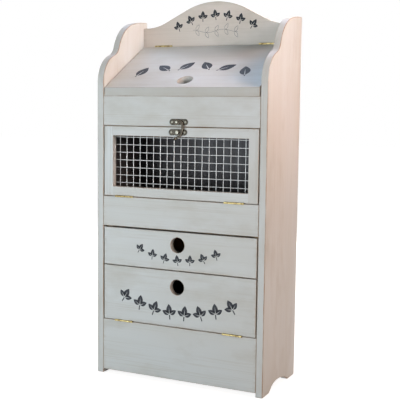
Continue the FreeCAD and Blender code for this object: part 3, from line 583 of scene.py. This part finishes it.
def board(node, axis, along, plank, from_low=True, keep_sharp=None, holes=(), rebates=(),
          frame_box=None):
    """A whitewashed board, drawn from the outline of the CAD board's face on an axis.

    That face is the one at the board's low end of the axis, or else at its high end. The grain
    runs along `along`, and the number `plank` shifts it so that no two boards look alike.
    A board that is part of a frame is grubby along the edges of `frame_box`, not its own.
    """
    low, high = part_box(node)
    start, end = (low, high) if from_low else (high, low)
    push = Vector((0, 0, 0))
    push[axis] = end[axis] - start[axis]
    if node in HINGED_EDGES:
        corners = (low.x, low.z), (high.x, low.z), (high.x, high.z), (low.x, high.z)
        points = [(x, low.y, z) for x, z in corners]
    else:
        points = outline_of(node, axis, start[axis])
    piece = thick_piece(node.replace("_", "-"), points, [range(len(points))], push)
    for rebate_low, rebate_high in rebates:
        cut_block(piece, rebate_low, rebate_high)
    for centre, direction in holes:
        drill(piece, centre, direction)
    ease(piece, WORN_ARRIS if node in WORN_EDGES else ARRIS, keep_sharp)
    wash, rub = (wash_across, rub_across) if along == "x" else (wash_upright, rub_upright)
    finish_surface(piece, [OWN_WASH.get(node, wash), rub], plank, frame_box or (low, high), smooth_deg=50)
    flat = piece.modifiers.new("flat_faces", "WEIGHTED_NORMAL")
    flat.keep_sharp = True
    bpy.ops.object.modifier_apply(modifier=flat.name)
    # the lid's front face gets the darker, greyer whitewash
    if node == "lid_board":
        piece.data.materials.append(lid_front_wash)
        for face in piece.data.polygons:
            if face.normal.y < -0.99:
                face.material_index = 2
    return stand_in_for(piece, node)


lid_up = Vector((0, math.cos(lid_slope), math.sin(lid_slope)))
lid_out = Vector((0, -math.sin(lid_slope), math.cos(lid_slope)))
lid_corners = [vertex.co for vertex in nodes["lid_board"].data.vertices]
lid_front_heights = [corner.z for corner in lid_corners if abs(corner.y - lid_low_corner.y) < NEAR]
lid_front_top = Vector((0, lid_low_corner.y, max(lid_front_heights)))

# ---- what is cut out of the boards ----
fronts_middle = (front_plane + fronts_back) / 2
drawer_hole = (0, fronts_middle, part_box("drawer_front")[1].z - DRAWER_HOLE_DROP)
flap_hole = (0, fronts_middle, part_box("potato_flap")[1].z - FLAP_HOLE_DROP)
lid_hole = lid_front_top + lid_up * LID_HOLE_FROM_EDGE - lid_out * LID_THICK / 2
crest_low, crest_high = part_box("crest_board")
back_low, back_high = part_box("back_panel")
crest_rebate = (
    (crest_low.x - OVERCUT, back_low.y, crest_low.z - OVERCUT),
    (crest_high.x + OVERCUT, panel_high.y + OVERCUT, back_high.z))

# ---- cabinet, lid, drawer and flap ----
board("left_side_panel", X, "z", 0.13)
board("right_side_panel", X, "z", 0.71, from_low=False)
board("bottom_board", Y, "x", 0.29)
board("middle_rail", Y, "x", 0.83)
board("top_rail", X, "x", 0.47)
board("lid_board", X, "x", 0.05, holes=[(lid_hole, lid_out)])
board("drawer_front", Y, "x", 0.59, holes=[(drawer_hole, BACK)])
board("potato_flap", Y, "x", 0.37, holes=[(flap_hole, BACK)])
board("crest_board", Y, "x", 0.91, rebates=[crest_rebate])

# ---- mesh door: its boards stay sharp where they meet and round the window ----
window_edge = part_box("door_left_stile")[1].x
inside_window = on_plane(X, window_edge, -window_edge)
door_box = (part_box("door_left_stile")[0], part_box("door_right_stile")[1])
for node, along, plank in (
        ("door_left_stile", "z", 0.17), ("door_right_stile", "z", 0.67),
        ("door_bottom_rail", "x", 0.23), ("door_top_rail", "x", 0.53)):
    board(node, Y, along, plank, keep_sharp=inside_window, frame_box=door_box)


# =====================================================================
# Carried-over pieces and their finishes
# =====================================================================
def coat(names, *materials):
    """Gives CAD pieces that stay as they are their finish."""
    for name in names:
        piece = nodes[name]
        piece.data.materials.clear()
        for material in materials:
            piece.data.materials.append(material)


# the back panel's face towards the inside gets the dark plywood, as painted shade
coat(["back_panel"], ply_upright, shaded_ply)
for face in nodes["back_panel"].data.polygons:
    face.material_index = 1 if face.normal.y < -0.5 else 0
coat(["drawer_bottom", "drawer_back", "bottom_shelf", "drawer_shelf", "onion_shelf",
      "door_stop"], pine_across)
coat(["shelf_cleats", "drawer_guides", "drawer_left_side", "drawer_right_side"], pine_deep)
coat(["rail_dowels"], beech)
coat([name for name in nodes if "hinge" in name or "leaf_screws" in name], brass)
coat(["cleat_screws", "back_panel_nails", "drawer_nails", "mesh_staples", "strike_plate",
      "strike_screw", "magnet_screws"], zinc)
coat(["magnet_case"], brown_plastic)
coat(["wire_mesh"], galvanised)


# =====================================================================
# Latch
# =====================================================================
def cast_piece(node, face, edge, rounding):
    """A latch piece with its edges worn round; the rounded strips get the edge material, which on the hook
    is pale bronze and painted highlight.
    """
    piece = merged_copy(node, node.replace("_", "-"))
    ease(piece, rounding)
    open_all(piece)
    bpy.ops.mesh.dissolve_degenerate(threshold=MERGE)
    bpy.ops.object.mode_set(mode="OBJECT")
    finish_surface(piece, [face, edge])
    return stand_in_for(piece, node)


# the hook's pale edges are partly worn bronze and partly a painted highlight along its curve
for node, face, edge, rounding in (
        ("latch_base_plate", bronze, bronze, 0.45), ("latch_catch_plate", bronze, bronze, 0.45),
        ("latch_hook", bronze, pale_bronze_and_highlight, 0.5), ("latch_rivet", nickel, nickel, 0.5),
        ("latch_catch_post", nickel, nickel, 0.3)):
    cast_piece(node, face, edge, rounding * MM)
coat(["latch_base_screws", "latch_catch_screws"], nickel)


# =====================================================================
# Wire mesh: slightly wavy wires with a bead of zinc at every crossing
# =====================================================================
def islands(node):
    """The boxes of a CAD piece's separate solids."""
    faces = faces_of(node)
    group = {place: place for corners in faces for place in corners}

    def root(place):
        while group[place] != place:
            group[place] = group[group[place]]
            place = group[place]
        return place

    for corners in faces:
        for corner in corners[1:]:
            group[root(corner)] = root(corners[0])
    members = {}
    for place in group:
        members.setdefault(root(place), []).append(Vector(place))
    for points in members.values():
        yield tuple(Vector(pick(p[i] for p in points) for i in range(3)) for pick in (min, max))


def wavy(start, end, axis, steps):
    """Points along a wire that wanders a little across its own length."""
    points = []
    for step in range(steps + 1):
        point = Vector(start).lerp(Vector(end), step / steps)
        if 0 < step < steps:
            for other in {0, 1, 2} - {axis}:
                point[other] += random.uniform(-SWAY, SWAY) * (DEPTH_SWAY if other == Y else 1.0)
        points.append(point)
    return points


def welded_mesh():
    rows, columns = [], []
    for low, high in islands("wire_mesh"):
        middle = (low + high) / 2
        if high.x - low.x > high.z - low.z:
            rows.append((Vector((low.x, middle.y, middle.z)), Vector((high.x, middle.y, middle.z))))
            radius = (high.z - low.z) / 2
        else:
            columns.append((Vector((middle.x, middle.y, low.z)), Vector((middle.x, middle.y, high.z))))
    curve = bpy.data.curves.new("wire-mesh", "CURVE")
    curve.dimensions = "3D"
    curve.bevel_depth = radius
    curve.bevel_resolution = 2
    curve.resolution_u = 3
    curve.use_fill_caps = True
    for wires, axis, steps in ((rows, 0, ROW_STEPS), (columns, 2, COLUMN_STEPS)):
        for start, end in wires:
            points = wavy(start, end, axis, steps)
            spline = curve.splines.new("POLY")
            spline.points.add(len(points) - 1)
            for point, place in zip(spline.points, points):
                point.co = (*place, 1)
    take_up(new_object("wire-mesh", curve))
    bpy.ops.object.convert(target="MESH")
    piece = bpy.context.active_object
    shape = bmesh.new()
    shape.from_mesh(piece.data)
    depth = (rows[0][0].y + columns[0][0].y) / 2
    for row, _ in rows:
        for column, _ in columns:
            size = Vector(BEAD_SHAPE) * random.uniform(*BEAD_SWELL)
            place = Matrix.LocRotScale(Vector((column.x, depth, row.z)), None, size)
            bmesh.ops.create_icosphere(shape, subdivisions=2, radius=radius, matrix=place)
    shape.to_mesh(piece.data)
    shape.free()
    finish_surface(settle(piece), [galvanised])
    return stand_in_for(piece, "wire_mesh")


welded_mesh()


# =====================================================================
# Painted leaves
# =====================================================================
class Sheet:
    """A board's face to paint on: places on it are given across, up and out of it."""

    def __init__(self, origin, up, out):
        self.origin, self.up, self.out = Vector(origin), Vector(up), Vector(out)

    def at(self, across, up, out=0.0):
        return self.origin + Vector((across, 0, 0)) + self.up * up + self.out * out


def turned(points, angle, across, up):
    cosine, sine = math.cos(angle), math.sin(angle)
    return [(across + x * cosine - y * sine, up + x * sine + y * cosine) for x, y in points]


def leaf_side(length, width, steps=10):
    """One long edge of a pointed leaf, from its foot to its tip, bulging to the right."""
    return [
        (math.sin(math.pi * (step / steps) ** 0.8) ** 0.85 * width / 2, step / steps * length)
        for step in range(steps + 1)]


def split_leaf(length, width, rib):
    """A pointed leaf with a bare rib running up from its foot."""
    right = leaf_side(length, width)
    rib_top = 0.72 * length
    right = [(max(x, rib) if y < rib_top else x, y) for x, y in right]
    left = [(-x, y) for x, y in reversed(right[:-1])]
    return right + left + [(-rib, 0.02 * length), (0, rib_top), (rib, 0.02 * length)]


def stalk(half_width, low, high):
    return [(-half_width, low), (half_width, low), (half_width, high), (-half_width, high)]


def herb(height):
    """Three leaves on a short stalk, about its own middle."""
    foot = -0.18 * height
    shapes = [stalk(0.035 * height, -0.5 * height, foot - 0.02 * height)]
    for lean, length in ((0, 0.62), (62, 0.50), (-62, 0.50)):
        leaf = split_leaf(length * height, 0.62 * length * height, 0.022 * height)
        lifted = [(x, y + 0.05 * height) for x, y in leaf]
        shapes.append(turned(lifted, math.radians(lean), 0, foot))
    return shapes


def bay_leaf(height):
    """One leaf with its stalk, about its own middle."""
    leaf = split_leaf(0.88 * height, 0.52 * height, 0.03 * height)
    lowered = [(x, y - 0.38 * height) for x, y in leaf]
    return [stalk(0.03 * height, -0.5 * height, -0.39 * height), lowered]


def painted_row(motif, lean_deg, count, half_span, middle, rise, height):
    """A motif repeated along a shallow arc, leaning to and fro."""
    shapes = []
    for number in range(count):
        across = half_span * (2 * number / (count - 1) - 1)
        up = middle + rise * (across / half_span) ** 2
        slope = math.atan2(2 * rise * across, half_span ** 2)
        lean = math.radians(lean_deg) * (1 if number % 2 else -1)
        shapes += [turned(shape, slope + lean, across, up) for shape in motif(height)]
    return shapes


def drawn_in(points, width):
    """The inner loop of a closed outline, one line's width inside it."""
    inner = []
    for i, (x, y) in enumerate(points):
        before, after = Vector(points[i - 1]), Vector(points[(i + 1) % len(points)])
        way = (after - before).normalized()
        inner.append((x - way.y * width, y + way.x * width))
    return inner


def sprig(half_span, middle, height, pairs=5):
    """A wavy stem with paired leaves, in thin outline."""
    def stem(across):
        return middle + 0.10 * height * math.sin(across / half_span * math.pi * 1.5)

    steps = [half_span * (step / 20 - 1) for step in range(41)]
    lower, upper = ([(x, stem(x) + side * SPRIG_LINE / 2) for x in steps] for side in (-1, 1))
    shapes = [lower + upper[::-1]]
    edge = leaf_side(0.46 * height, 0.23 * height)
    outline = edge[:-1] + [(-x, y) for x, y in edge[:0:-1]]
    loops = outline, drawn_in(outline, SPRIG_LINE)
    for number in range(pairs):
        across = half_span * 0.86 * (2 * number / (pairs - 1) - 1)
        for lean in (-148, -32):
            shapes.append(tuple(turned(loop, math.radians(lean), across, stem(across)) for loop in loops))
    return shapes


def paint_on(name, sheet, node, shapes, material):
    """One film of paint on a node's board. A shape is a list of corners, or two loops for a line."""
    corners, faces = [], []
    for shape in shapes:
        outer, inner = shape if isinstance(shape, tuple) else (shape, [])
        start, count = len(corners), len(outer)
        corners += [sheet.at(x, y, -PAINT_ROOT) for x, y in outer + inner]
        if inner:
            for i in range(count):
                j = (i + 1) % count
                faces.append((start + i, start + j, start + count + j, start + count + i))
        else:
            faces.append(range(start, start + count))
    piece = thick_piece(name, corners, faces, sheet.out * (PAINT_ROOT + PAINT_FILM))
    finish_surface(piece, [material])
    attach(piece, nodes[node]["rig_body"])
    return piece


crest_sheet = Sheet((0, crest_face, 0), UP, FRONT)
front_sheet = Sheet((0, front_plane, 0), UP, FRONT)
lid_sheet = Sheet(lid_front_top, lid_up, lid_out)
# name, sheet, node, motif, lean and count; then half span, middle, rise and height in millimetres
for name, sheet, node, motif, lean_deg, count, *lengths in (
        ("crest-herbs", crest_sheet, "crest_board", herb, 9, 7, 107, 925, -27, 28),
        ("lid-leaves", lid_sheet, "lid_board", bay_leaf, 40, 6, 142, 112, -31, 52),
        ("drawer-herbs", front_sheet, "drawer_front", herb, 9, 7, 104, 312, 22, 27),
        ("flap-herbs", front_sheet, "potato_flap", herb, 9, 8, 146, 181, 30, 39)):
    shapes = painted_row(motif, lean_deg, count, *(length * MM for length in lengths))
    paint_on(name, sheet, node, shapes, charcoal)
crest_sprig = sprig(half_span=64 * MM, middle=883.5 * MM, height=38 * MM)
paint_on("crest-sprig", crest_sheet, "crest_board", crest_sprig, pencil_grey)


# =====================================================================
# Floor, light and camera
# =====================================================================
def studio_floor():
    """A pale floor that the camera sees as white, with the cabinet's faint shadow on it."""
    clear_selection()
    bpy.ops.mesh.primitive_plane_add(size=30, location=(0, 0, -0.5 * MM))
    floor = bpy.context.active_object
    floor.name = "studio_floor"
    recipe = Recipe("pale_floor")
    recipe.tree.nodes.remove(recipe.shader)
    path = recipe.node("LightPath").outputs
    away = recipe.node("VectorMath", {0: recipe.node("TexCoord").outputs["Object"]}, operation="LENGTH")
    # a little darker round the cabinet's foot, then plain white
    glow = recipe.between(away.outputs["Value"], 0.45, 1.0, 0.88, 1.0)
    plain = recipe.node("BsdfDiffuse", {"Color": (0.5, 0.5, 0.5, 1)})
    both = recipe.node("AddShader")
    recipe.feed(both.inputs[0], plain.outputs[0])
    recipe.feed(both.inputs[1], recipe.node("Emission", {"Strength": glow}).outputs[0])
    direct = recipe.work_out("MAXIMUM", path["Is Camera Ray"], path["Is Glossy Ray"])
    direct = recipe.work_out("MAXIMUM", direct, path["Is Transmission Ray"])
    mix = recipe.node("MixShader")
    recipe.feed(mix.inputs[0], direct)
    recipe.feed(mix.inputs[1], plain.outputs[0])
    recipe.feed(mix.inputs[2], both.outputs[0])
    recipe.feed(recipe.output.inputs["Surface"], mix.outputs[0])
    floor.data.materials.append(recipe.material)


def studio_air(ambient, strength):
    """A soft light from all round; looked at directly it is plain white."""
    world = bpy.data.worlds.new("studio_air")
    bpy.context.scene.world = world
    world.use_nodes = True
    tree = world.node_tree
    soft = tree.nodes["Background"]
    soft.inputs["Color"].default_value = ambient
    soft.inputs["Strength"].default_value = strength
    white = tree.nodes.new("ShaderNodeBackground")
    white.inputs["Strength"].default_value = 1.0
    white.inputs["Color"].default_value = (1, 1, 1, 1)
    path = tree.nodes.new("ShaderNodeLightPath")
    seen = path.outputs["Is Camera Ray"]
    for ray in ("Is Glossy Ray", "Is Transmission Ray"):
        either = tree.nodes.new("ShaderNodeMath")
        either.operation = "MAXIMUM"
        tree.links.new(seen, either.inputs[0])
        tree.links.new(path.outputs[ray], either.inputs[1])
        seen = either.outputs[0]
    mix = tree.nodes.new("ShaderNodeMixShader")
    tree.links.new(seen, mix.inputs[0])
    tree.links.new(soft.outputs[0], mix.inputs[1])
    tree.links.new(white.outputs[0], mix.inputs[2])
    tree.links.new(mix.outputs[0], tree.nodes["World Output"].inputs["Surface"])


def lamp(name, place, aim, size, power, colour, spread_deg=180):
    """A square soft lamp of this size in metres and power in watts, turned towards its aim."""
    light = bpy.data.lights.new(name, "AREA")
    light.spread = math.radians(spread_deg)
    light.shape = "SQUARE"
    light.size = size
    light.energy = power
    light.color = colour
    holder = new_object(name, light)
    holder.location = place
    holder.rotation_euler = (Vector(aim) - Vector(place)).to_track_quat("-Z", "Y").to_euler()


def camera(place, yaw_deg, pitch_deg, roll_deg, focal_pixels, image_pixels=400):
    """A camera turned left by yaw and up by pitch from looking along +Y, then rolled."""
    data = bpy.data.cameras.new("camera")
    data.sensor_width = 36
    data.lens = focal_pixels / image_pixels * data.sensor_width
    yaw, pitch, roll = (math.radians(angle) for angle in (yaw_deg, pitch_deg, roll_deg))
    holder = new_object("camera", data)
    ahead = Vector((-math.sin(yaw) * math.cos(pitch), math.cos(yaw) * math.cos(pitch), math.sin(pitch)))
    right = Vector((math.cos(yaw), math.sin(yaw), 0))
    up = right.cross(ahead)
    rolled_right = math.cos(roll) * right + math.sin(roll) * up
    rolled_up = math.cos(roll) * up - math.sin(roll) * right
    turn = Matrix((rolled_right, rolled_up, -ahead)).transposed().to_4x4()
    holder.matrix_world = Matrix.Translation(place) @ turn
    bpy.context.scene.camera = holder


studio_floor()
studio_air((0.85, 0.93, 1.0, 1), 0.02)
lamp("warm_window", (2.20, -0.75, 1.00), (0, 0, 0.6), 0.6, 17.7, (1.0, 0.76, 0.63))
lamp("high_right", (0.75, 0.55, 1.80), (0.1, 0, 0.8), 0.5, 11.7, (1.0, 0.68, 0.54))
lamp("side_glow", (1.10, -0.20, 1.10), (0.23, 0.0, 0.68), 0.3, 0.25, (1.0, 0.62, 0.50), 44)
lamp("corner_glow", (1.60, -0.50, 1.50), (-0.20, 0.05, 0.85), 0.4, 0.50, (0.90, 0.93, 1.0), 25)
lamp("low_left", (-1.30, -1.60, 0.30), (0, 0, 0.35), 0.9, 12.8, (0.76, 0.92, 1.0))
lamp("low_front", (-0.40, -2.40, 0.20), (0, 0, 0.6), 0.9, 27.3, (0.86, 0.94, 1.0))
lamp("sky_panel", (-0.45, 0.67, 1.94), (0.1, 0.0, 0.8), 0.7, 7.2, (0.54, 0.72, 1.0))
lamp("behind", (-0.60, 2.40, 1.10), (0, 0, 0.5), 1.4, 45, (1.0, 0.97, 0.93))
lamp("far_left", (-2.20, 0.45, 0.80), (0, 0, 0.5), 1.0, 15, (1.0, 0.98, 0.95))
camera((0.9525, -1.9440, 0.6748), yaw_deg=25.9, pitch_deg=-5.89, roll_deg=0.67, focal_pixels=855.95)
bpy.context.scene.view_settings.view_transform = "Standard"
